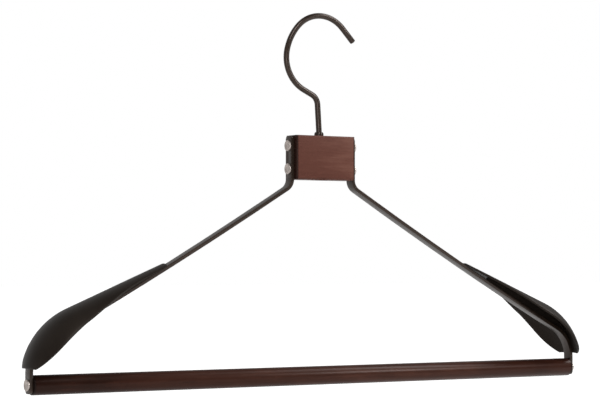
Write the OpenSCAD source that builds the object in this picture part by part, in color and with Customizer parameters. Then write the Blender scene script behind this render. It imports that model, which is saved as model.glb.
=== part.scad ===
// Suit hanger with two bent flat-bar arms, a wooden centre block, a swivelling wire hook,
// a round wooden trouser bar and two moulded shoulder wings. Millimetres, +Z up.
// The origin is the rail seat: the highest point of the inside of the hook, where it hangs.

/* [Overall] */
// Width across the outer faces of the two arms
hanger_w = 440; // [400:1:470]
// Height from the axis of the trouser bar to the top of the block
bar_drop = 166.3; // [150:0.1:180]
// Height from the rail seat to the top of the block
hook_rise = 81.8; // [78:0.1:95]

/* [Hook] */
// Diameter of the hook wire
wire_d = 4; // [3.2:0.1:4.4]
// Radius over the top of the hook, to the middle of the wire
top_r = 24.8; // [23:0.1:27]
// Radius of the flatter back of the hook
back_r = 36; // [30:0.5:42]
// Radius of the hook from its back to its heel
belly_r = 24.2; // [22:0.1:26]
// Angle past the top at which the bend ends on the open side
nose_angle = 46.5; // [40:0.5:56]
// Length of the straight nose after the bend
nose_len = 12.5; // [8:0.5:14]
// Angle past the top at which the flatter back begins
top_turn = 46; // [40:1:52]
// Angle through which the flatter back turns
back_turn = 31.5; // [26:0.5:36]
// Angle before the bottom at which the belly ends
heel_angle = 25.7; // [22:0.1:30]
// Bend radius between the heel and the shank
neck_r = 8; // [6:0.5:10]
// Lean of the shank from the upright
shank_lean = 3.6; // [2:0.1:5]
// Radius of the slight bend above the collar
foot_r = 20; // [16:1:26]
// Height of that bend above the collar
foot_gap = 0.6; // [0.4:0.1:2]

/* [Swivel] */
// Distance of the swivel's axis from the middle of the block, on the hook's closed side
swivel_x = 1.4; // [0:0.1:2.5]
// Running clearance around the shank, on the radius
swivel_gap = 0.05; // [0.03:0.01:0.09]
// Diameter of the collar above the block
collar_d = 6.5; // [6.2:0.1:8]
// Height of the collar above the block
collar_h = 2.8; // [1.5:0.1:4]
// Height of the tapered top of the collar
collar_taper_h = 1.1; // [0.5:0.1:1.3]
// Amount that the collar's top is narrower, on the radius
collar_taper = 0.5; // [0.2:0.1:0.7]
// Diameter of the bush below the collar, inside the block
bush_d = 6; // [5.6:0.1:6.1]
// Diameter of the counterbore under the block
counterbore_d = 12; // [11:0.5:13]
// Depth of the counterbore under the block
counterbore_h = 8; // [6.5:0.5:9]
// Diameter of the thrust washer
washer_d = 10; // [9:0.5:10.5]
// Thickness of the thrust washer
washer_h = 0.8; // [0.5:0.1:1.2]
// Width across the flats of the retaining nut
nut_af = 7; // [6.5:0.1:8]
// Height of the retaining nut
nut_h = 3.2; // [2.5:0.1:4]
// Gap above and below the thrust washer
thrust_gap = 0.1; // [0.05:0.05:0.2]

/* [Block] */
// Length of the block between the two arms
block_l = 47.2; // [44:0.1:54]
// Thickness of the block, front to back
block_t = 15; // [13:0.5:18]
// Height of the block
block_h = 30.5; // [28:0.5:34]
// Radius of the block's upright edges
block_edge_r = 1.2; // [0.6:0.1:3]
// Bevel along the block's top and bottom edges
block_bevel = 0.8; // [0.4:0.1:1.2]

/* [Arms] */
// Width of the flat bar, front to back
arm_w = 7.5; // [7:0.1:9]
// Thickness of the flat bar
arm_t = 2.4; // [2:0.1:2.8]
// Depth of the arm's upper end below the top of the block
arm_top_gap = 0.5; // [0.2:0.1:1.5]
// Height from the bar's axis at which the sloping run, drawn on, meets the block side
slope_z = 132.1; // [128:0.1:134]
// Angle of the sloping run below the level
slope_angle = 29.5; // [28:0.1:31]
// Sag of the sloping run below a straight line
slope_sag = 1.4; // [0:0.1:3]
// Radius on the hollow side of the bend below the block
neck_bend_r = 7; // [5:0.5:8]
// Outer radius of the bend at the shoulder
shoulder_r = 25; // [22:0.5:28]
// Length of the arm below the axis of the trouser bar
arm_tail = 5.6; // [5:0.1:7]
// Corner radius at both ends of the arm
arm_end_r = 2.6; // [1:0.1:3]

/* [Trouser bar] */
// Diameter of the trouser bar
bar_d = 13; // [11:0.1:14]
// Bevel at the ends of the trouser bar
bar_bevel = 0.5; // [0.3:0.1:1]

/* [Screws] */
// Diameter of the flat screw heads
head_d = 7.6; // [7:0.1:8]
// Height of the flat screw heads
head_h = 1.1; // [0.8:0.1:1.4]
// Diameter of the shallow dish in each head
dish_d = 5; // [3:0.1:5.6]
// Depth of the dish in each head
dish_h = 0.25; // [0.1:0.05:0.4]
// Width of the dish's sloping side
dish_side = 0.5; // [0.3:0.1:1]
// Diameter of the screw shanks
screw_d = 3.5; // [3:0.1:4]
// Distance between the two block screws on a side
screw_pitch = 16; // [14:0.5:18]
// Length of a block screw below its head
block_screw_l = 11; // [8:0.5:13]
// Length of a bar screw below its head
bar_screw_l = 18; // [12:0.5:24]
// Diameter of the threaded inserts
insert_d = 5.6; // [5:0.1:6]
// Clearance of the screws in the arms, on the radius
hole_gap = 0.15; // [0.1:0.05:0.3]
// Length that an insert runs past the end of its screw
insert_spare = 1; // [0.5:0.5:2]

/* [Wings] */
// Distance from the outer face of the arm's end to the tip of the wing
wing_reach = 97.6; // [90:0.2:105]
// Gap between the arm and the underside of the wing's tip
wing_tip_gap = 1; // [0.3:0.1:1.5]
// Radius of the crest line over the shoulder
wing_curve_r = 52; // [46:0.5:58]
// Depth of the crest curve's centre below the centre of the arm's shoulder bend
wing_center_drop = 6.6; // [4:0.1:8]
// Clearance between the arm and the inside of the wing at the shoulder
wing_gap = 0.45; // [0.4:0.05:1]
// Height of the wing's lower end above the axis of the trouser bar
wing_end_z = 10.9; // [8:0.1:14]
// Wall of the wing
wing_wall = 1.5; // [1.2:0.1:2]
// Wall of the wing at its tip
wing_tip_wall = 0.8; // [0.6:0.1:1]
// Share of the wing's length over which the wall thickens from the tip
wall_taper = 0.1; // [0.05:0.05:0.3]
// Half the width of the wing at its tip
wing_tip_half_w = 7; // [6:0.1:8]
// Half the width of the wing where it is widest
wing_half_w = 22.7; // [18:0.1:24]
// Half the width of the wing at its lower end
wing_end_half_w = 11; // [8:0.1:13]
// Fullness of the wing's outline on the way to its lower end, as an exponent
wing_end_power = 2.5; // [2:0.1:3.5]
// Depth by which the outside rounds in at the lower end
wing_lip = 0.9; // [0.3:0.1:1.1]
// Share of the wing's length over which the outside rounds in
lip_share = 0.085; // [0.05:0.005:0.12]
// Share of the wing's length at which it is widest
wing_widest = 0.75; // [0.7:0.01:0.8]
// How late the wing widens on the way from its tip, as an exponent
wing_flare = 2.35; // [1.8:0.05:2.6]
// Share of the wing's length over which the tip's corners are rounded
tip_round = 0.03; // [0.01:0.01:0.05]
// Share of the tip's width that is left at the very end
tip_flat = 0.55; // [0.4:0.05:0.8]
// Radius of the wing's cross-section at the tip
wing_tip_section_r = 16; // [14:0.5:20]
// Radius of the wing's cross-section at the lower end
wing_end_section_r = 31; // [28:0.5:34]
// Thickness of the web that carries the wing on the arm
web_t = 2.4; // [2:0.1:3]
// Thickness of the bonding strip between the web and the arm
bond_t = 0.3; // [0.2:0.05:0.4]
// Distance from the wing's tip to the start of the web
web_start = 16; // [14:0.5:22]
// Distance from the end of the web to the wing's lower end
web_end_gap = 3; // [2:0.5:6]

/* [Hidden] */

$fn = 64;
bend_steps = 12;
slope_steps = 14;
wing_steps = 30;
section_steps = 9;
ring_bias = 1.3;
cut = 1;

dark_metal = [0.20, 0.18, 0.17];
pale_metal = [0.74, 0.70, 0.67];
brass = [0.72, 0.58, 0.32];
block_wood = [0.36, 0.20, 0.16];
bar_wood = [0.24, 0.12, 0.09];
wing_grey = [0.16, 0.15, 0.14];
bond_grey = [0.55, 0.54, 0.50];

// Heights of the main places, from the rail seat
wire_r = wire_d / 2;

// Straight runs of the wire, and its back, are a hair thinner than the other bends and lap into them
run_lap = 0.3;
run_d = wire_d - 0.02;
shank_r = run_d / 2;
shank_spare = 1;
block_top = -hook_rise;
block_bottom = block_top - block_h;
bar_z = block_top - bar_drop;
arm_top = block_top - arm_top_gap;

// Hook: three bends that run into each other, from the nose over the top to the heel
function ray(a) = [cos(a), sin(a)];
top_c = [0, wire_r - top_r];
top_end = 90 + top_turn;
back_c = top_c + (top_r - back_r) * ray(top_end);
back_end = top_end + back_turn;
back_lap = run_lap / back_r * 180 / PI;
belly_c = back_c + (back_r - belly_r) * ray(back_end);
heel_start = belly_c + belly_r * ray(270 - heel_angle);

// Hook: the two straight runs between the heel, the neck bend and the bend above the collar
foot_c = [-swivel_x - foot_r, block_top + collar_h + foot_gap];
foot_top = foot_c + foot_r * ray(shank_lean);
reach = foot_top - heel_start - neck_r * (ray(shank_lean) - ray(90 - heel_angle));
heel_run = (reach.x * cos(shank_lean) + reach.y * sin(shank_lean)) / cos(heel_angle + shank_lean);
shank_run = -(reach.y * cos(heel_angle) + reach.x * sin(heel_angle)) / cos(heel_angle + shank_lean);
neck_c = heel_start + heel_run * ray(-heel_angle) - neck_r * ray(90 - heel_angle);

// Swivel
counterbore_top = block_bottom + counterbore_h;
washer_top = counterbore_top - thrust_gap;
nut_top = washer_top - washer_h;
nut_bottom = nut_top - nut_h;
shank_end = nut_bottom - shank_spare;

// Arms: the outer face is the face away from the block, the top face on the slope
arm_inner_x = block_l / 2;
arm_outer_x = arm_inner_x + arm_t;
end_x = hanger_w / 2;
bar_l = hanger_w - 2 * arm_t;
screw_mid_z = block_top - block_h / 2;
block_insert_l = block_screw_l - arm_t + insert_spare;
bar_insert_l = bar_screw_l - arm_t + insert_spare;

// Sloping run as one long arc: its chord goes from the block corner to the shoulder
slope_start = [arm_outer_x, bar_z + slope_z];
slope_reach = 10;
slope_span = end_x - shoulder_r - arm_outer_x + slope_reach;
chord_l = slope_span / cos(slope_angle);
slope_arc_r = (chord_l * chord_l / 4 + slope_sag * slope_sag) / (2 * max(slope_sag, 0.001));
slope_half_turn = asin(chord_l / 2 / slope_arc_r);
slope_arc_c = slope_start + chord_l / 2 * [cos(slope_angle), -sin(slope_angle)]
    + (slope_arc_r - slope_sag) * [sin(slope_angle), cos(slope_angle)];

// Bend below the block: tangent to the upright face and inside the long arc
neck_bend_c = [arm_outer_x + neck_bend_r,
    slope_arc_c.y - sqrt(pow(slope_arc_r - neck_bend_r, 2)
        - pow(slope_arc_c.x - arm_outer_x - neck_bend_r, 2))];
neck_bend_end = atan2(neck_bend_c.y - slope_arc_c.y, neck_bend_c.x - slope_arc_c.x);

// Bend at the shoulder: tangent to the upright end and outside the long arc
shoulder_c = [end_x - shoulder_r,
    slope_arc_c.y - sqrt(pow(slope_arc_r + shoulder_r, 2)
        - pow(slope_arc_c.x - end_x + shoulder_r, 2))];
shoulder_start = atan2(slope_arc_c.y - shoulder_c.y, slope_arc_c.x - shoulder_c.x);
slope_turn_end = shoulder_start - 180;

// Points of the arm's face at a depth below its outer face, from the top to the lower end
function arc_points(c, r, from, to, steps) =
    [for (i = [0:steps]) c + r * ray(from + (to - from) * i / steps)];
function arm_face(depth) = concat(
    [[arm_outer_x - depth, arm_top]],
    arc_points(neck_bend_c, neck_bend_r + depth, 180, neck_bend_end + 360, bend_steps),
    arc_points(slope_arc_c, slope_arc_r + depth, neck_bend_end, slope_turn_end, slope_steps),
    arc_points(shoulder_c, shoulder_r - depth, shoulder_start, 0, bend_steps),
    [[end_x - depth, bar_z - arm_tail]]);

// Wing: the crest line runs straight from the tip and then round an arc that clears the arm's bend
wing_tip_x = end_x - wing_reach;
function face_z(x) = slope_arc_c.y - sqrt(pow(slope_arc_r, 2) - pow(x - slope_arc_c.x, 2));
tip_lift = wing_tip_wall + wing_tip_gap;
crest_tip = [wing_tip_x, face_z(wing_tip_x) + tip_lift / cos(slope_angle)];
crest_off = wing_curve_r - wing_wall - shoulder_r - wing_gap;
crest_c = shoulder_c - [sqrt(pow(crest_off, 2) - pow(wing_center_drop, 2)), wing_center_drop];
tip_to_c = norm(crest_c - crest_tip);
crest_run = sqrt(pow(tip_to_c, 2) - pow(wing_curve_r, 2));
wing_angle = atan2(crest_tip.y - crest_c.y, crest_c.x - crest_tip.x) - asin(wing_curve_r / tip_to_c);
wing_end_height = bar_z + wing_end_z;
crest_last = 90 - max(0, asin((wing_end_height - crest_c.y) / wing_curve_r));
crest_turn_l = wing_curve_r * (crest_last - wing_angle) * PI / 180;
crest_drop = max(0, crest_c.y - wing_end_height);
wing_l = crest_run + crest_turn_l + crest_drop;

// Angle of the crest below the level, and its point, at a length from the tip
function crest_angle(s) = wing_angle
    + min(max(s - crest_run, 0), crest_turn_l) / wing_curve_r * 180 / PI;
function crest_point(s) = s < crest_run
    ? crest_tip + s * [cos(wing_angle), -sin(wing_angle)]
    : crest_c + wing_curve_r * [sin(crest_angle(s)), cos(crest_angle(s))]
        - [0, max(0, s - crest_run - crest_turn_l)];
function half_width(t) = t < wing_widest
    ? wing_tip_half_w + (wing_half_w - wing_tip_half_w) * pow(sin(90 * t / wing_widest), wing_flare)
    : wing_half_w * pow(1 - (1 - pow(wing_end_half_w / wing_half_w, wing_end_power))
        * pow((t - wing_widest) / (1 - wing_widest), wing_end_power), 1 / wing_end_power);
function rounded_width(t) = half_width(t)
    * (t < tip_round ? tip_flat + (1 - tip_flat) * sin(90 * t / tip_round) : 1);
function section_r(t) = wing_tip_section_r
    + (wing_end_section_r - wing_tip_section_r) * sin(90 * t);
function wall(t) = min(wing_wall, wing_tip_wall + (wing_wall - wing_tip_wall) * t / wall_taper);
function lip(t) = wing_lip * (1 - sqrt(1 - pow(max(0, 1 - (1 - t) / lip_share), 2)));

// One closed ring of the wing: the outer arc and back along the inner arc
function section_point(s, r, depth, a) =
    let (n = [sin(crest_angle(s)), cos(crest_angle(s))],
        h = (r - depth) * cos(a) - r)
    [crest_point(s).x + n.x * h, (r - depth) * sin(a), crest_point(s).y + n.y * h];
function wing_ring(t) =
    let (s = t * wing_l, r = section_r(t), spread = asin(rounded_width(t) / r))
    concat(
        [for (i = [0:section_steps]) section_point(s, r, lip(t), spread * (2 * i / section_steps - 1))],
        [for (i = [0:section_steps]) section_point(s, r, wall(t), spread * (1 - 2 * i / section_steps))]);
ring_n = 2 * (section_steps + 1);
wing_points = [for (k = [0:wing_steps]) each wing_ring(1 - pow(1 - k / wing_steps, ring_bias))];
wing_faces = concat(
    [for (k = [0:wing_steps - 1], i = [0:ring_n - 1])
        let (a = k * ring_n + i, b = k * ring_n + (i + 1) % ring_n)
        each [[a, b, a + ring_n], [b, b + ring_n, a + ring_n]]],
    [for (i = [0:section_steps - 1])
        each [[i, ring_n - 1 - i, i + 1], [i + 1, ring_n - 1 - i, ring_n - 2 - i]]],
    [for (i = [0:section_steps - 1]) let (e = wing_steps * ring_n)
        each [[e + i, e + i + 1, e + ring_n - 1 - i], [e + i + 1, e + ring_n - 2 - i, e + ring_n - 1 - i]]]);

// Outline between the arm and the middle of the wing's wall
web_end_z = wing_end_height + web_end_gap;
function keep(points) = [for (p = points) if (p.x > wing_tip_x + web_start && p.y > web_end_z) p];
function web_top(depth) = [for (k = [0:wing_steps])
    let (s = web_start + (wing_l - web_start - web_end_gap) * k / wing_steps,
        n = [sin(crest_angle(s)), cos(crest_angle(s))])
    crest_point(s) - depth * n];
function reversed(points) = [for (i = [len(points) - 1:-1:0]) points[i]];

module mirrored(side) {
    if (side < 0) mirror([1, 0, 0]) children();
    else children();
}

// Places what follows at a point of the upright middle plane
module in_plane(point) {
    translate([point.x, 0, point.y]) children();
}

// Places what follows on the swivel's axis, at a height
module on_swivel(z) {
    translate([-swivel_x, 0, z]) children();
}

// A bend of the hook wire in the upright plane, between two angles from the level
module bend(r, from, to, d = wire_d) {
    rotate([90, 0, 0]) rotate([0, 0, from])
        rotate_extrude(angle = to - from) translate([r, 0]) circle(d = d);
}

// A straight run of the hook wire that laps into the bends at its ends
module run(length) {
    translate([0, 0, -run_lap]) cylinder(d = run_d, h = length + 2 * run_lap);
}

module hook() {
    color(dark_metal) {
        in_plane(top_c + top_r * ray(90 - nose_angle))
            rotate([0, 90 + nose_angle, 0]) run(nose_len - run_lap);
        in_plane(top_c) bend(top_r, 90 - nose_angle, top_end);
        in_plane(back_c) bend(back_r, top_end - back_lap, back_end + back_lap, run_d);
        in_plane(belly_c) bend(belly_r, back_end, 270 - heel_angle);
        in_plane(heel_start) rotate([0, 90 + heel_angle, 0]) run(heel_run);
        in_plane(neck_c) bend(neck_r, shank_lean, 90 - heel_angle);
        in_plane(neck_c + neck_r * ray(shank_lean)) rotate([0, 180 - shank_lean, 0]) run(shank_run);
        in_plane(foot_c) bend(foot_r, 0, shank_lean);
        on_swivel(shank_end + run_lap) run(foot_c.y - shank_end - run_lap);
    }
}

module hook_washer() {
    color(pale_metal) on_swivel(nut_top) difference() {
        cylinder(d = washer_d, h = washer_h);
        translate([0, 0, -cut]) cylinder(r = shank_r + swivel_gap, h = washer_h + 2 * cut);
    }
}

module hook_nut() {
    color(pale_metal) on_swivel(nut_bottom) difference() {
        cylinder(d = nut_af / cos(30), h = nut_h, $fn = 6);
        translate([0, 0, -cut]) cylinder(r = shank_r, h = nut_h + 2 * cut);
    }
}

module hook_collar() {
    color(dark_metal) difference() {
        union() {
            on_swivel(block_top) cylinder(d = collar_d, h = collar_h - collar_taper_h);
            on_swivel(block_top + collar_h - collar_taper_h)
                cylinder(d1 = collar_d, d2 = collar_d - 2 * collar_taper, h = collar_taper_h);
            on_swivel(counterbore_top) cylinder(d = bush_d, h = block_top - counterbore_top);
        }
        on_swivel(counterbore_top - cut)
            cylinder(r = shank_r + swivel_gap, h = block_top - counterbore_top + collar_h + 2 * cut);
    }
}

module block_blank() {
    difference() {
        translate([-block_l / 2, -block_t / 2, block_bottom]) cube([block_l, block_t, block_h]);
        for (x = [-1, 1], y = [-1, 1])
            translate([x * (block_l / 2 - block_edge_r), y * (block_t / 2 - block_edge_r), block_bottom - cut])
                difference() {
                    translate([x > 0 ? 0 : -2 * block_edge_r, y > 0 ? 0 : -2 * block_edge_r, 0])
                        cube([2 * block_edge_r, 2 * block_edge_r, block_h + 2 * cut]);
                    cylinder(r = block_edge_r, h = block_h + 2 * cut);
                }
        for (y = [-1, 1], z = [block_bottom, block_top])
            translate([-block_l / 2 - cut, y * block_t / 2, z]) rotate([45, 0, 0]) rotate([0, 90, 0])
                translate([-block_bevel / sqrt(2), -block_bevel / sqrt(2), 0])
                    cube([block_bevel * sqrt(2), block_bevel * sqrt(2), block_l + 2 * cut]);
    }
}

module center_block() {
    color(block_wood) difference() {
        block_blank();
        on_swivel(block_bottom - cut) cylinder(d = counterbore_d, h = counterbore_h + cut);
        on_swivel(counterbore_top - cut) cylinder(d = bush_d, h = block_h);
        for (side = [-1, 1], z = [-1, 1])
            mirrored(side)
                translate([arm_inner_x - block_insert_l, 0, screw_mid_z + z * screw_pitch / 2])
                    rotate([0, 90, 0]) cylinder(d = insert_d, h = block_insert_l + cut);
    }
}

// Rounds the two corners of an arm's end: z is the end, up is 1 for the top end
module end_corners(x, z, up) {
    for (y = [-1, 1])
        translate([x - 2 * arm_t, y * (arm_w / 2 - arm_end_r), z - up * arm_end_r]) rotate([0, 90, 0])
            difference() {
                translate([up > 0 ? -2 * arm_end_r : 0, y > 0 ? 0 : -2 * arm_end_r, 0])
                    cube([2 * arm_end_r, 2 * arm_end_r, 4 * arm_t]);
                translate([0, 0, -cut]) cylinder(r = arm_end_r, h = 4 * arm_t + 2 * cut);
            }
}

module arm(side) {
    color(dark_metal) mirrored(side) difference() {
        translate([0, arm_w / 2, 0]) rotate([90, 0, 0]) linear_extrude(arm_w)
            polygon(concat(arm_face(0), reversed(arm_face(arm_t))));
        end_corners(arm_inner_x, arm_top, 1);
        end_corners(end_x, bar_z - arm_tail, -1);
        for (z = [-1, 1])
            translate([arm_inner_x - cut, 0, screw_mid_z + z * screw_pitch / 2]) rotate([0, 90, 0])
                cylinder(r = screw_d / 2 + hole_gap, h = arm_t + 2 * cut);
        translate([end_x - arm_t - cut, 0, bar_z]) rotate([0, 90, 0])
            cylinder(r = screw_d / 2 + hole_gap, h = arm_t + 2 * cut);
    }
}

// A screw along +X whose head sits on a face at x = 0, its shank towards -X
module screw(length) {
    color(pale_metal) rotate([0, 90, 0]) {
        difference() {
            cylinder(d = head_d, h = head_h);
            translate([0, 0, head_h - dish_h])
                cylinder(d1 = dish_d - 2 * dish_side, d2 = dish_d, h = dish_h);
        }
        translate([0, 0, -length]) cylinder(d = screw_d, h = length);
    }
}

module insert(length) {
    color(brass) rotate([0, 90, 0]) difference() {
        cylinder(d = insert_d, h = length);
        translate([0, 0, insert_spare]) cylinder(d = screw_d, h = length);
    }
}

module block_screw(side, z) {
    mirrored(side) translate([arm_outer_x, 0, screw_mid_z + z * screw_pitch / 2]) screw(block_screw_l);
}

module block_insert(side, z) {
    mirrored(side) translate([arm_inner_x - block_insert_l, 0, screw_mid_z + z * screw_pitch / 2])
        insert(block_insert_l);
}

module bar_screw(side) {
    mirrored(side) translate([end_x, 0, bar_z]) screw(bar_screw_l);
}

module bar_insert(side) {
    mirrored(side) translate([end_x - arm_t - bar_insert_l, 0, bar_z]) insert(bar_insert_l);
}

module trouser_bar() {
    color(bar_wood) translate([-bar_l / 2, 0, bar_z]) rotate([0, 90, 0]) difference() {
        union() {
            cylinder(d1 = bar_d - 2 * bar_bevel, d2 = bar_d, h = bar_bevel);
            translate([0, 0, bar_bevel]) cylinder(d = bar_d, h = bar_l - 2 * bar_bevel);
            translate([0, 0, bar_l - bar_bevel]) cylinder(d1 = bar_d, d2 = bar_d - 2 * bar_bevel, h = bar_bevel);
        }
        translate([0, 0, -cut]) cylinder(d = insert_d, h = bar_insert_l + cut);
        translate([0, 0, bar_l - bar_insert_l]) cylinder(d = insert_d, h = bar_insert_l + cut);
    }
}

module wing(side) {
    color(wing_grey) mirrored(side) {
        polyhedron(wing_points, wing_faces, convexity = 6);
        translate([0, web_t / 2, 0]) rotate([90, 0, 0]) linear_extrude(web_t)
            polygon(concat(web_top(wing_wall / 2), reversed(keep(arm_face(-bond_t)))));
    }
}

module wing_bond(side) {
    color(bond_grey) mirrored(side) translate([0, web_t / 2, 0]) rotate([90, 0, 0]) linear_extrude(web_t)
        polygon(concat(keep(arm_face(-bond_t)), reversed(keep(arm_face(0)))));
}

hook();
hook_washer();
hook_nut();
hook_collar();
center_block();
arm(-1);  // left_arm
arm(1);  // right_arm
block_screw(-1, 1);  // left_upper_screw
block_screw(-1, -1);  // left_lower_screw
block_screw(1, 1);  // right_upper_screw
block_screw(1, -1);  // right_lower_screw
block_insert(-1, 1);  // left_upper_insert
block_insert(-1, -1);  // left_lower_insert
block_insert(1, 1);  // right_upper_insert
block_insert(1, -1);  // right_lower_insert
trouser_bar();
bar_screw(-1);  // left_bar_screw
bar_screw(1);  // right_bar_screw
bar_insert(-1);  // left_bar_insert
bar_insert(1);  // right_bar_insert
wing(-1);  // left_wing
wing(1);  // right_wing
wing_bond(-1);  // left_wing_bond
wing_bond(1);  // right_wing_bond
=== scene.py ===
import math

import bmesh
import bpy
from mathutils import Matrix, Vector


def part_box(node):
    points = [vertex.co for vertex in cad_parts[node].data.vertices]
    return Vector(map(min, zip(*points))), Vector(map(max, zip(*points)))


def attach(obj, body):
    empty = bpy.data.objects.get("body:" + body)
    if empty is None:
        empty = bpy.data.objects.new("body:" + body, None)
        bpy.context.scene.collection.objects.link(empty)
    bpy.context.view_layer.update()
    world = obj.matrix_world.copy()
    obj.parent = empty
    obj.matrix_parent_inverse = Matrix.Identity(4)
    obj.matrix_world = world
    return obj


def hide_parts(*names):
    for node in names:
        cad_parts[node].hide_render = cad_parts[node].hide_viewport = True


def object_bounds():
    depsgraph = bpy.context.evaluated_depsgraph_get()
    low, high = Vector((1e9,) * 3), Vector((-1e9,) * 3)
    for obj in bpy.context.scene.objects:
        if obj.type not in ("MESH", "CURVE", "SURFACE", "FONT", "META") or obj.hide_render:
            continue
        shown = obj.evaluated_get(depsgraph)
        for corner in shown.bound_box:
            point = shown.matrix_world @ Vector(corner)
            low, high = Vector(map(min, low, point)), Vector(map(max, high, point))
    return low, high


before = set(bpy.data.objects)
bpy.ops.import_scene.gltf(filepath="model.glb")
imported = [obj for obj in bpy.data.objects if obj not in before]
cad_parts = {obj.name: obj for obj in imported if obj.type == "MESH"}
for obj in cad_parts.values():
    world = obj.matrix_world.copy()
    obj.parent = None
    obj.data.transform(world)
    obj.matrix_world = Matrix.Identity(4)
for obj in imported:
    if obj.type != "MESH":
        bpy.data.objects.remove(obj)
cad_low, cad_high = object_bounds()


# Centre block. A slab of hardwood with rounded upright edges, drilled for the hook and the screws,
# stained reddish brown and given a satin lacquer. Both arms are screwed to its ends.
class Flow:
    """A value that flows between shader nodes, so that shader maths reads as an expression."""

    def __init__(self, nodes, socket):
        self.nodes = nodes
        self.socket = socket

    def maths(self, operation, first, second):
        made = self.nodes.node("Math", {"operation": operation}, {0: first, 1: second})
        return made["Value"]

    def __add__(self, other):
        return self.maths("ADD", self, other)

    def __radd__(self, other):
        return self.maths("ADD", other, self)

    def __sub__(self, other):
        return self.maths("SUBTRACT", self, other)

    def __rsub__(self, other):
        return self.maths("SUBTRACT", other, self)

    def __mul__(self, other):
        return self.maths("MULTIPLY", self, other)

    def __rmul__(self, other):
        return self.maths("MULTIPLY", other, self)


class Nodes:
    """Makes and links the shader nodes of one material, or of the surround."""

    def __init__(self, tree):
        self.tree = tree
        self.tree.nodes.clear()

    def feed(self, socket, value):
        """Links a flow to a socket, or sets a steady colour or number there."""
        if isinstance(value, Flow):
            self.tree.links.new(value.socket, socket)
        elif socket.type == "RGBA":
            socket.default_value = (*value, 1)
        else:
            socket.default_value = value

    def node(self, kind, settings, sockets):
        """Makes a node: its settings first, then the values or links of its sockets."""
        made = self.tree.nodes.new("ShaderNode" + kind)
        for name, value in settings.items():
            setattr(made, name, value)
        for name, value in sockets.items():
            self.feed(made.inputs[name], value)
        return {socket.name: Flow(self, socket) for socket in made.outputs if socket.enabled}

    def place(self, stretch=(1, 1, 1)):
        """The place on the piece in metres, drawn out along each axis."""
        spot = self.node("TexCoord", {}, {})["Object"]
        return self.node("Mapping", {}, {"Vector": spot, "Scale": stretch})["Vector"]

    def noise(self, vector, scale, detail, roughness):
        sockets = {"Vector": vector, "Scale": scale, "Detail": detail, "Roughness": roughness}
        return self.node("TexNoise", {}, sockets)["Fac"]

    def step(self, value, low, high):
        """Rises smoothly from 0 at low to 1 at high."""
        settings = {"interpolation_type": "SMOOTHSTEP"}
        sockets = {"Value": value, "From Min": low, "From Max": high}
        return self.node("MapRange", settings, sockets)["Result"]

    def mix(self, factor, first, second):
        """Goes from the first colour to the second, which are sockets 6 and 7 of the node."""
        sockets = {"Factor": factor, 6: first, 7: second}
        return self.node("Mix", {"data_type": "RGBA"}, sockets)["Result"]


class Finish(Nodes):
    """A material made of nodes round one principled shader, whose steady values are set here."""

    def __init__(self, name, **steady):
        self.material = bpy.data.materials.new(name)
        self.material.use_nodes = True
        super().__init__(self.material.node_tree)
        self.shader = self.tree.nodes.new("ShaderNodeBsdfPrincipled")
        output = self.tree.nodes.new("ShaderNodeOutputMaterial")
        self.tree.links.new(self.shader.outputs["BSDF"], output.inputs["Surface"])
        self.shade(**steady)

    def shade(self, **values):
        for name, value in values.items():
            self.feed(self.shader.inputs[name.replace("_", " ")], value)

    def bump(self, height, distance):
        """Lets a height that runs from 0 to 1 stand out by a distance in metres."""
        sockets = {"Height": height, "Distance": distance}
        self.shade(Normal=self.node("Bump", {}, sockets)["Normal"])


# Painted shade at the ends of the wood: where it starts, where it is full, and how dark it gets
END_SHADE_START = 0.0016
END_SHADE_FULL = 0.0006
END_SHADE_DARKNESS = 0.3


def wood(name, dark, mid, light, grain_scale, tone_and_painted_light, half_length, vein_depth, roughness, lacquer):
    """Stained, lacquered wood with its grain along X, with painted shade that darkens its ends."""
    finish = Finish(
        name,
        Coat_Weight=lacquer,
        Coat_Roughness=0.24,
        Coat_Tint=(1, 0.85, 0.8),
        Specular_IOR_Level=0.12,
        Specular_Tint=(1, 0.7, 0.6),
    )
    # The veins, the broad figure and the pores, each drawn out along the grain
    fine = finish.noise(finish.place((0.07, 1, 1)), grain_scale, 6, 0.6)
    broad = finish.noise(finish.place((0.3, 1, 1)), grain_scale * 0.2, 4, 0.6)
    pores = finish.noise(finish.place((0.05, 1, 1)), grain_scale * 3, 2, 0.5)
    # The tone shifts evenly, and a painted light gradient makes it lighter or darker from end to
    # end, in a slope and in an arch. The grain value below carries this painted light too
    along = finish.node("SeparateXYZ", {}, {"Vector": finish.place()})["X"]
    steady, painted_light_slope, painted_light_arch = tone_and_painted_light
    grain = fine * 0.4 + broad * 0.6 + (along * painted_light_slope + along * along * painted_light_arch + steady)
    stain_and_painted_light = finish.mix(finish.step(grain, 0.25, 0.5), dark, mid)
    stain_and_painted_light = finish.mix(finish.step(grain, 0.5, 0.75), stain_and_painted_light, light)
    stain_and_painted_light = finish.mix(finish.step(pores, 0.56, 0.72) * 0.3, stain_and_painted_light, dark)
    # Painted shade: the colour turns dark towards each end of the piece, where its end faces and
    # edges lie in shadow
    end_shade_from = (half_length - END_SHADE_START) ** 2
    end_shade_full = (half_length - END_SHADE_FULL) ** 2
    ends = finish.step(along * along, end_shade_from, end_shade_full)
    finish.shade(
        Base_Color=finish.mix(ends, stain_and_painted_light, [c * END_SHADE_DARKNESS for c in dark]),
        Roughness=fine * 0.12 + roughness,
    )
    finish.bump(fine * 0.5 + pores * 0.5, vein_depth)
    return finish


SAME_PLACE = 2e-6
SAME_FACE = math.radians(0.3)


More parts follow.
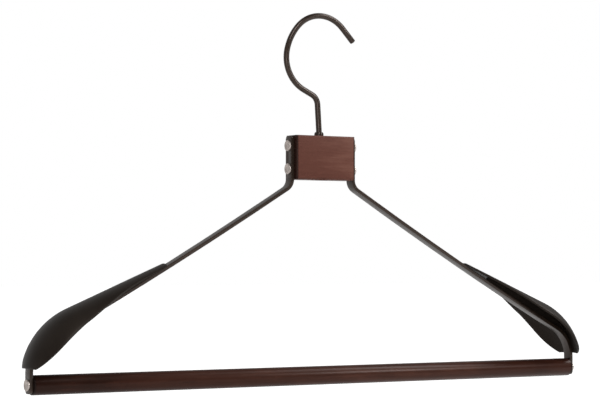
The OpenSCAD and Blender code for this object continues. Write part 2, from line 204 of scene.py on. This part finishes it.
def copy_of(node):
    """The solid of a part as one joined mesh with whole flat faces."""
    mesh = bmesh.new()
    mesh.from_mesh(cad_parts[node].data)
    bmesh.ops.remove_doubles(mesh, verts=mesh.verts, dist=SAME_PLACE)
    bmesh.ops.dissolve_limit(mesh, angle_limit=SAME_FACE, verts=mesh.verts, edges=mesh.edges)
    return mesh


def soften(mesh, width, segments, least_degrees=35):
    """Rounds the crisp edges of a mesh, where its faces turn by at least so much."""
    least = math.radians(least_degrees)
    crisp = [e for e in mesh.edges if e.is_manifold and e.calc_face_angle() > least]
    bmesh.ops.bevel(
        mesh, geom=crisp, offset=width, segments=segments, profile=0.5, material=-1,
        affect="EDGES", clamp_overlap=True,
    )


SMOOTH_UP_TO = math.radians(30)


def piece(name, mesh, finish, body, nodes):
    """Puts a finished mesh in the scene as a piece that stands for its solids."""
    data = bpy.data.meshes.new(name)
    mesh.to_mesh(data)
    mesh.free()
    data.shade_smooth()
    data.set_sharp_from_angle(angle=SMOOTH_UP_TO)
    data.materials.append(finish.material)
    made = bpy.data.objects.new(name, data)
    bpy.context.scene.collection.objects.link(made)
    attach(made, body)
    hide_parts(*nodes)


BLOCK_SOFTENING = 0.0006

block_wood = wood(
    "block_wood",
    dark=(0.066, 0.023, 0.016),
    mid=(0.098, 0.036, 0.026),
    light=(0.138, 0.059, 0.043),
    grain_scale=420,
    # Painted light: the slope makes the block lighter towards its right end, where its front
    # catches the light
    tone_and_painted_light=(0.03, 7, 0),
    half_length=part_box("center_block")[1].x,
    vein_depth=0.00003,
    roughness=0.36,
    lacquer=0.06,
)
block_mesh = copy_of("center_block")
soften(block_mesh, BLOCK_SOFTENING, 3)
piece("block", block_mesh, block_wood, "frame", ["center_block"])


# Collar and bush. A small turned sleeve of dark bronzed metal with a tapered top, pressed into the
# block, in which the shank of the hook turns.
def painted_metal(name, colour, roughness):
    """Satin bronze paint with the faint unevenness of a sprayed coat."""
    finish = Finish(name, Specular_IOR_Level=0.45, Specular_Tint=(1, 0.84, 0.77))
    cloud = finish.noise(finish.place(), 60, 3, 0.5)
    speck = finish.noise(finish.place(), 2400, 2, 0.5)
    tint = finish.mix(finish.step(cloud, 0.35, 0.65), colour, [c * 1.35 for c in colour])
    finish.shade(Base_Color=tint, Roughness=cloud * 0.06 + speck * 0.02 + roughness)
    finish.bump(cloud + speck * 0.02, 0.00004)
    return finish


COLLAR_SOFTENING = 0.0002

bronze = painted_metal("dark_bronze", (0.0165, 0.0105, 0.0072), 0.25)
collar_mesh = copy_of("hook_collar")
soften(collar_mesh, COLLAR_SOFTENING, 2)
piece("collar", collar_mesh, bronze, "frame", ["hook_collar"])


# Hook. One length of round wire in the same dark bronze, bent to a wide hook with a cranked neck
# and cut square at the nose. Its shank turns in the collar, and it carries the hanger.
WIRE_RADIUS = 0.002
TOP_RADIUS = 0.0248
BACK_RADIUS = 0.036
BELLY_RADIUS = 0.0242
NOSE_ANGLE = math.radians(46.5)
NOSE_LENGTH = 0.0125
TOP_TURN = math.radians(46)
BACK_TURN = math.radians(31.5)
HEEL_ANGLE = math.radians(25.7)
NECK_RADIUS = 0.008
SHANK_LEAN = math.radians(3.6)
FOOT_RADIUS = 0.020
FOOT_GAP = 0.0006
NOSE_ROUNDING = 0.0004
WIRE_SIDES = 32
TURN_STEP = math.radians(3)

UPRIGHT = math.pi / 2


def ray(angle):
    """The way at an angle from the level, in the upright middle plane."""
    return Vector((math.cos(angle), math.sin(angle)))


def wire_along(start, heading, runs):
    """A round wire in the upright middle plane, made of straight runs and of bends.

    Each run gives its length, or else the radius and the angle of its bend.
    """
    mesh = bmesh.new()
    ring = bmesh.ops.create_circle(
        mesh, segments=WIRE_SIDES, radius=WIRE_RADIUS, cap_ends=False
    )["verts"]
    bmesh.ops.transform(mesh, verts=ring, matrix=Matrix.Rotation(UPRIGHT - heading, 4, "Y"))
    bmesh.ops.translate(mesh, verts=ring, vec=start)
    first = bmesh.ops.contextual_create(mesh, geom=ring)["faces"]
    front = [e for f in first for e in f.edges]
    here = Vector(start)
    for length, radius, turn in runs:
        if radius == 0:
            ahead = Vector((math.cos(heading), 0, math.sin(heading)))
            moved = bmesh.ops.extrude_edge_only(mesh, edges=front)["geom"]
            verts = [g for g in moved if isinstance(g, bmesh.types.BMVert)]
            bmesh.ops.translate(mesh, verts=verts, vec=ahead * length)
            here += ahead * length
        else:
            reach = math.copysign(radius, turn)
            center = here + Vector((-math.sin(heading), 0, math.cos(heading))) * reach
            moved = bmesh.ops.spin(
                mesh, geom=front, cent=center, axis=(0, -1, 0), angle=turn,
                steps=max(2, round(abs(turn) / TURN_STEP)), use_duplicate=False,
            )["geom_last"]
            heading += turn
            here = center - Vector((-math.sin(heading), 0, math.cos(heading))) * reach
        front = [g for g in moved if isinstance(g, bmesh.types.BMEdge) and len(g.link_faces) == 1]
    bmesh.ops.contextual_create(mesh, geom=front)
    bmesh.ops.recalc_face_normals(mesh, faces=mesh.faces)
    ends = [f for f in mesh.faces if len(f.verts) == WIRE_SIDES]
    bmesh.ops.bevel(
        mesh, geom=[e for f in ends for e in f.edges], offset=NOSE_ROUNDING, segments=3,
        profile=0.5, material=-1, affect="EDGES",
    )
    return mesh


hook_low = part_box("hook")[0]
washer_low, washer_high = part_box("hook_washer")
swivel_x = (washer_low.x + washer_high.x) / 2
collar_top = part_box("hook_collar")[1].z

top_end = UPRIGHT + TOP_TURN
back_end = top_end + BACK_TURN
belly_end = 3 * UPRIGHT - HEEL_ANGLE
top_center = Vector((0, WIRE_RADIUS - TOP_RADIUS))
back_center = top_center + (TOP_RADIUS - BACK_RADIUS) * ray(top_end)
belly_center = back_center + (BACK_RADIUS - BELLY_RADIUS) * ray(back_end)
heel = belly_center + BELLY_RADIUS * ray(belly_end)
foot_center = Vector((swivel_x - FOOT_RADIUS, collar_top + FOOT_GAP))
bends = FOOT_RADIUS * ray(SHANK_LEAN) - NECK_RADIUS * (ray(SHANK_LEAN) - ray(UPRIGHT - HEEL_ANGLE))
apart = foot_center + bends - heel
heel_run = apart.dot(ray(SHANK_LEAN)) / math.cos(HEEL_ANGLE + SHANK_LEAN)
shank_run = -apart.dot(ray(UPRIGHT - HEEL_ANGLE)) / math.cos(HEEL_ANGLE + SHANK_LEAN)
hook_mesh = wire_along(
    (swivel_x, 0, hook_low.z),
    UPRIGHT,
    [
        (foot_center.y - hook_low.z, 0, 0),
        (0, FOOT_RADIUS, SHANK_LEAN),
        (shank_run, 0, 0),
        (0, NECK_RADIUS, UPRIGHT - HEEL_ANGLE - SHANK_LEAN),
        (heel_run, 0, 0),
        (0, BELLY_RADIUS, back_end - belly_end),
        (0, BACK_RADIUS, -BACK_TURN),
        (0, TOP_RADIUS, -TOP_TURN - NOSE_ANGLE),
        (NOSE_LENGTH, 0, 0),
    ],
)
piece("hook_wire", hook_mesh, bronze, "hook", ["hook"])


# Washer and nut. A plain steel thrust washer and a hexagon nut on the lower end of the shank, sunk
# in the counterbore under the block, hold the hook in.
def plain_metal(name, colour, metallic, roughness, grain):
    """Bare metal with fine tool marks."""
    finish = Finish(name, Metallic=metallic)
    marks = finish.noise(finish.place(grain), 900, 3, 0.6)
    cloud = finish.noise(finish.place(), 220, 3, 0.5)
    tint = finish.mix(finish.step(cloud, 0.3, 0.7), [c * 0.86 for c in colour], colour)
    finish.shade(Base_Color=tint, Roughness=marks * 0.14 + roughness)
    finish.bump(marks, 0.00001)
    return finish


def keep(node, finish):
    """A solid that is shown as it is, in this finish."""
    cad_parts[node].data.materials.clear()
    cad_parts[node].data.materials.append(finish.material)


nickel = plain_metal("satin_nickel", (0.56, 0.49, 0.45), 0.85, 0.3, (1, 4, 1))
keep("hook_washer", nickel)
keep("hook_nut", nickel)


# Arms. Two flat bars of steel with rounded edges, bent at the block and at the shoulder and given
# the same dark bronze paint. Their upper ends lie against the ends of the block.
ARM_SOFTENING = 0.0006

for side in ("left", "right"):
    arm_mesh = copy_of(f"{side}_arm")
    soften(arm_mesh, ARM_SOFTENING, 3, 60)
    piece(f"{side}_flat_bar", arm_mesh, bronze, "frame", [f"{side}_arm"])


# Screws and inserts. Six screws with flat nickel heads, dished in the middle, hold the arms to the
# block and to the trouser bar, in threaded brass inserts.
HEAD_SOFTENING = 0.00016

brass = plain_metal("turned_brass", (0.72, 0.52, 0.24), 1.0, 0.3, (1, 1, 1))
for side in ("left", "right"):
    for place in ("upper", "lower", "bar"):
        screw_mesh = copy_of(f"{side}_{place}_screw")
        soften(screw_mesh, HEAD_SOFTENING, 2, 40)
        piece(
            f"{side}_{place}_disc_screw", screw_mesh, nickel, "frame",
            [f"{side}_{place}_screw"],
        )
        keep(f"{side}_{place}_insert", brass)


# Trouser bar. A turned hardwood rod, stained dark brown and lacquered, held between the lower ends
# of the arms by a screw at each end.
BAR_SIDES = 96
BAR_ROUNDING = 0.0005

bar_low, bar_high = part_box("trouser_bar")
bar_wood = wood(
    "bar_wood",
    dark=(0.014, 0.0046, 0.0028),
    mid=(0.034, 0.0115, 0.0072),
    light=(0.062, 0.0225, 0.0145),
    grain_scale=380,
    # Painted light: the arch makes the bar lighter in the middle and darker towards both ends, most
    # at the left, as the light falls on it
    tone_and_painted_light=(0.06, 0.45, -5),
    half_length=bar_high.x,
    vein_depth=0.00002,
    roughness=0.3,
    lacquer=0.09,
)
bar_middle = (bar_low + bar_high) / 2
bar_mesh = bmesh.new()
bmesh.ops.create_cone(
    bar_mesh,
    cap_ends=True,
    segments=BAR_SIDES,
    radius1=(bar_high.z - bar_low.z) / 2,
    radius2=(bar_high.z - bar_low.z) / 2,
    depth=bar_high.x - bar_low.x,
    matrix=Matrix.Translation(bar_middle) @ Matrix.Rotation(math.pi / 2, 4, "Y"),
)
soften(bar_mesh, BAR_ROUNDING, 3)
piece("trouser_rod", bar_mesh, bar_wood, "frame", ["trouser_bar"])


# Shoulder wings. Two thin moulded shells in soft charcoal plastic that widen the arms under the
# shoulders of a jacket. Each has a web inside that stands on the arm, fixed with a bonding strip.
WING_TIP = Vector((0.1224, -0.17007))
CREST_CENTER = Vector((0.17084, -0.24687))
CREST_RADIUS = 0.052
WING_END_Z = -0.2372
WALL = 0.0015
TIP_WALL = 0.0008
WALL_TAPER = 0.1
TIP_HALF_WIDTH = 0.007
HALF_WIDTH = 0.0227
END_HALF_WIDTH = 0.011
END_FULLNESS = 2.5
WIDEST = 0.75
FLARE = 2.35
LIP = 0.0009
LIP_SHARE = 0.085
TIP_ROUND = 0.03
TIP_FLAT = 0.55
TIP_SECTION_RADIUS = 0.016
END_SECTION_RADIUS = 0.031
WING_RINGS = 80
SECTION_STEPS = 24
RING_BIAS = 1.3

to_center = CREST_CENTER - WING_TIP
crest_run = math.sqrt(to_center.length**2 - CREST_RADIUS**2)
crest_slope = math.atan2(-to_center.y, to_center.x) - math.asin(CREST_RADIUS / to_center.length)
crest_last = math.pi / 2 - math.asin((WING_END_Z - CREST_CENTER.y) / CREST_RADIUS)
wing_length = crest_run + CREST_RADIUS * (crest_last - crest_slope)


def crest(along):
    """The place on the crest line, and the way out of it, at a length from the tip."""
    angle = crest_slope + max(0, along - crest_run) / CREST_RADIUS
    out = Vector((math.sin(angle), math.cos(angle)))
    if along < crest_run:
        return WING_TIP + along * Vector((out.y, -out.x)), out
    return CREST_CENTER + CREST_RADIUS * out, out


def half_width(share):
    """Half the width of the wing at a share of its length."""
    if share > WIDEST:
        late = (share - WIDEST) / (1 - WIDEST)
        loss = 1 - (END_HALF_WIDTH / HALF_WIDTH) ** END_FULLNESS
        return HALF_WIDTH * (1 - loss * late**END_FULLNESS) ** (1 / END_FULLNESS)
    rise = math.sin(math.pi / 2 * share / WIDEST) ** FLARE
    width = TIP_HALF_WIDTH + (HALF_WIDTH - TIP_HALF_WIDTH) * rise
    if share < TIP_ROUND:
        width *= TIP_FLAT + (1 - TIP_FLAT) * math.sin(math.pi / 2 * share / TIP_ROUND)
    return width


def wing_ring(share):
    """The places of one closed ring: over the outside and back along the inside."""
    place, out = crest(share * wing_length)
    growth = END_SECTION_RADIUS - TIP_SECTION_RADIUS
    radius = TIP_SECTION_RADIUS + growth * math.sin(math.pi / 2 * share)
    wall = min(WALL, TIP_WALL + (WALL - TIP_WALL) * share / WALL_TAPER)
    lip = LIP * (1 - math.sqrt(1 - max(0, 1 - (1 - share) / LIP_SHARE) ** 2))
    spread = math.asin(half_width(share) / radius)
    places = []
    for depth, way in ((lip, 1), (wall, -1)):
        for i in range(SECTION_STEPS + 1):
            angle = way * spread * (2 * i / SECTION_STEPS - 1)
            down = (radius - depth) * math.cos(angle) - radius
            sideways = (radius - depth) * math.sin(angle)
            places.append((place.x + out.x * down, sideways, place.y + out.y * down))
    return places


def wing_shell():
    """The shell of the right wing, drawn ring by ring from the tip to the lower end."""
    mesh = bmesh.new()
    ring = [mesh.verts.new(place) for place in wing_ring(0)]
    edges = [mesh.edges.new((a, b)) for a, b in zip(ring, ring[1:] + ring[:1])]
    rings = [ring]
    for k in range(1, WING_RINGS + 1):
        places = wing_ring(1 - (1 - k / WING_RINGS) ** RING_BIAS)
        grown = bmesh.ops.extrude_edge_only(mesh, edges=edges)["geom"]
        edges = [g for g in grown if isinstance(g, bmesh.types.BMEdge) and len(g.link_faces) == 1]
        fresh = {g for g in grown if isinstance(g, bmesh.types.BMVert)}
        ring = [
            next(e.other_vert(v) for e in v.link_edges if e.other_vert(v) in fresh)
            for v in rings[-1]
        ]
        for vert, place in zip(ring, places):
            vert.co = place
        rings.append(ring)
    for ring in (rings[0], rings[-1]):
        for i in range(SECTION_STEPS):
            mesh.faces.new((ring[i], ring[i + 1], ring[-2 - i], ring[-1 - i]))
    bmesh.ops.recalc_face_normals(mesh, faces=mesh.faces)
    return mesh


def charcoal(name):
    """Soft charcoal plastic with a faint moulded texture."""
    finish = Finish(name, Specular_IOR_Level=0.15, Specular_Tint=(1, 0.88, 0.8))
    cloud = finish.noise(finish.place(), 45, 3, 0.5)
    skin = finish.noise(finish.place(), 1900, 3, 0.6)
    dark, light = (0.0115, 0.0085, 0.0066), (0.0165, 0.0125, 0.0098)
    tint = finish.mix(finish.step(cloud, 0.3, 0.7), dark, light)
    finish.shade(Base_Color=tint, Roughness=cloud * 0.1 + skin * 0.08 + 0.32)
    finish.bump(skin, 0.00002)
    return finish


SHELL_SOFTENING = 0.0003

wing_plastic = charcoal("charcoal_plastic")
strip = Finish("bonding_strip", Roughness=0.7)
foam = strip.noise(strip.place(), 700, 4, 0.5)
strip.shade(Base_Color=strip.mix(foam, (0.10, 0.10, 0.095), (0.16, 0.16, 0.15)))

CREST_STEPS = 400
OUTWARDS = 0.5


def web_on(mesh, node, sign):
    """Adds the web: the outer faces of the bonding strip, raised to the inside of the shell."""
    foot = copy_of(node)
    spent = [
        f for f in foot.faces
        if f.normal.x * sign + f.normal.z <= OUTWARDS or abs(f.normal.y) >= OUTWARDS
    ]
    bmesh.ops.delete(foot, geom=spent, context="FACES")
    raised = bmesh.ops.extrude_face_region(foot, geom=foot.faces[:], use_keep_orig=True)["geom"]
    samples = [crest(wing_length * i / CREST_STEPS) for i in range(CREST_STEPS + 1)]
    for vert in (g for g in raised if isinstance(g, bmesh.types.BMVert)):
        here = Vector((vert.co.x * sign, vert.co.z))
        place, out = min(samples, key=lambda sample: (sample[0] - here).length)
        target = place - out * WALL / 2
        vert.co = (target.x * sign, vert.co.y, target.y)
    bmesh.ops.recalc_face_normals(foot, faces=foot.faces)
    spare = bpy.data.meshes.new("web")
    foot.to_mesh(spare)
    foot.free()
    mesh.from_mesh(spare)
    bpy.data.meshes.remove(spare)


for side, sign in (("left", -1), ("right", 1)):
    shell = wing_shell()
    if sign < 0:
        bmesh.ops.scale(shell, verts=shell.verts, vec=(-1, 1, 1))
        bmesh.ops.reverse_faces(shell, faces=shell.faces)
    soften(shell, SHELL_SOFTENING, 2, 50)
    web_on(shell, f"{side}_wing_bond", sign)
    piece(f"{side}_shoulder_shell", shell, wing_plastic, "frame", [f"{side}_wing"])
    keep(f"{side}_wing_bond", strip)


# Studio. A pale floor under the hanger, a white surround, three soft lamps in front and a broad sun
# at the right. The camera stands at the hanger's left, a little below its middle.
FLOOR_DROP = 0.15
FLOOR_SIZE = 30
FLOOR_GLOW = 0.75
FLOOR_SHARE_IN_GLOSS = 0.4

floor_mesh = bmesh.new()
bmesh.ops.create_grid(floor_mesh, x_segments=1, y_segments=1, size=FLOOR_SIZE / 2)
bmesh.ops.translate(floor_mesh, verts=floor_mesh.verts, vec=(0, 0, cad_low.z - FLOOR_DROP))
floor_data = bpy.data.meshes.new("floor")
floor_mesh.to_mesh(floor_data)
floor_mesh.free()
floor = bpy.data.objects.new("floor", floor_data)
bpy.context.scene.collection.objects.link(floor)
paper = Finish("white_paper", Base_Color=(0.8, 0.8, 0.8), Roughness=0.9, Emission_Color=(1, 1, 1))
floor_ray = paper.node("LightPath", {}, {})
floor_seen = floor_ray["Is Camera Ray"] + floor_ray["Is Transmission Ray"]
shows_white = floor_seen + floor_ray["Is Glossy Ray"] * FLOOR_SHARE_IN_GLOSS
paper.feed(paper.shader.inputs["Emission Strength"], shows_white * FLOOR_GLOW)
floor_data.materials.append(paper.material)

# Polished surfaces see a pale side at the camera's left and another beyond the hanger, with dark
# between them. The camera sees white, and everything else gets the fill light.
CAMERA_TURN = math.radians(-31)
LEFT_GLOW = 0.45
BACK_GLOW = 0.35
LEAST_GLOW = 0.04
FILL_LIGHT = 0.22

world = bpy.data.worlds.new("surround")
bpy.context.scene.world = world
world.use_nodes = True
sky = Nodes(world.node_tree)
way = sky.node("TexCoord", {}, {})["Generated"]


def toward(x, y, z):
    """How far a ray goes in a direction: 1 is straight along it, and -1 is straight away."""
    return sky.node("VectorMath", {"operation": "DOT_PRODUCT"}, {0: way, 1: (x, y, z)})["Value"]


left = toward(-math.cos(CAMERA_TURN), -math.sin(CAMERA_TURN), 0)
behind = toward(-math.sin(CAMERA_TURN), math.cos(CAMERA_TURN), 0)
side_glow = sky.step(left, 0.0, 0.8) * LEFT_GLOW
reflected = side_glow + sky.step(behind, 0.1, 0.9) * BACK_GLOW + LEAST_GLOW
sky_ray = sky.node("LightPath", {}, {})
seen = sky_ray["Is Camera Ray"] + sky_ray["Is Transmission Ray"]
glossy = sky_ray["Is Glossy Ray"]
level = seen + glossy * reflected + (1 - seen - glossy) * FILL_LIGHT
background = sky.tree.nodes.new("ShaderNodeBackground")
sky.feed(background.inputs["Strength"], level)
sky.feed(background.inputs["Color"], (1, 1, 1))
world_output = sky.tree.nodes.new("ShaderNodeOutputWorld")
sky.tree.links.new(background.outputs["Background"], world_output.inputs["Surface"])

HANGER_MIDDLE = Vector((0, 0, -0.15))
SUN_FROM = Vector((0.9, -0.2, 1))
SUN_WIDTH = math.radians(25)
SUN_STRENGTH = 1.1


def lamp(name, place, size, power):
    """A round soft lamp that is turned to the middle of the hanger."""
    data = bpy.data.lights.new(name, "AREA")
    data.shape = "DISK"
    data.size = size
    data.energy = power
    made = bpy.data.objects.new(name, data)
    made.location = place
    made.rotation_euler = (HANGER_MIDDLE - Vector(place)).to_track_quat("-Z", "Y").to_euler()
    bpy.context.scene.collection.objects.link(made)


lamp("key_lamp", (-0.35, -1.01, 0.95), size=0.6, power=9)
sunlight = bpy.data.lights.new("sunlight", "SUN")
sunlight.angle = SUN_WIDTH
sunlight.energy = SUN_STRENGTH
sun = bpy.data.objects.new("sunlight", sunlight)
sun.rotation_euler = SUN_FROM.to_track_quat("Z", "Y").to_euler()
bpy.context.scene.collection.objects.link(sun)
lamp("right_lamp", (1.05, -1.1, 0.45), size=0.4, power=9)
lamp("front_lamp", (-0.86, -1.28, -0.04), size=0.45, power=4.5)

# The lens and the shift are given in widths of the picture, which is 600 wide
LENS_LENGTH_IN_FRAMES = 1997 / 600
HORIZON_SHIFT = 55.7 / 600
CAMERA_PLACE = (-0.7282, -1.1841, -0.1680)

camera_data = bpy.data.cameras.new("camera")
camera_data.sensor_width = 36
camera_data.lens = camera_data.sensor_width * LENS_LENGTH_IN_FRAMES
camera_data.shift_y = HORIZON_SHIFT
camera_data.clip_start = 0.05
camera_data.clip_end = 100
camera = bpy.data.objects.new("camera", camera_data)
camera.location = CAMERA_PLACE
camera.rotation_euler = (math.pi / 2, 0, CAMERA_TURN)
bpy.context.scene.collection.objects.link(camera)
bpy.context.scene.camera = camera
bpy.context.scene.view_settings.view_transform = "Standard"
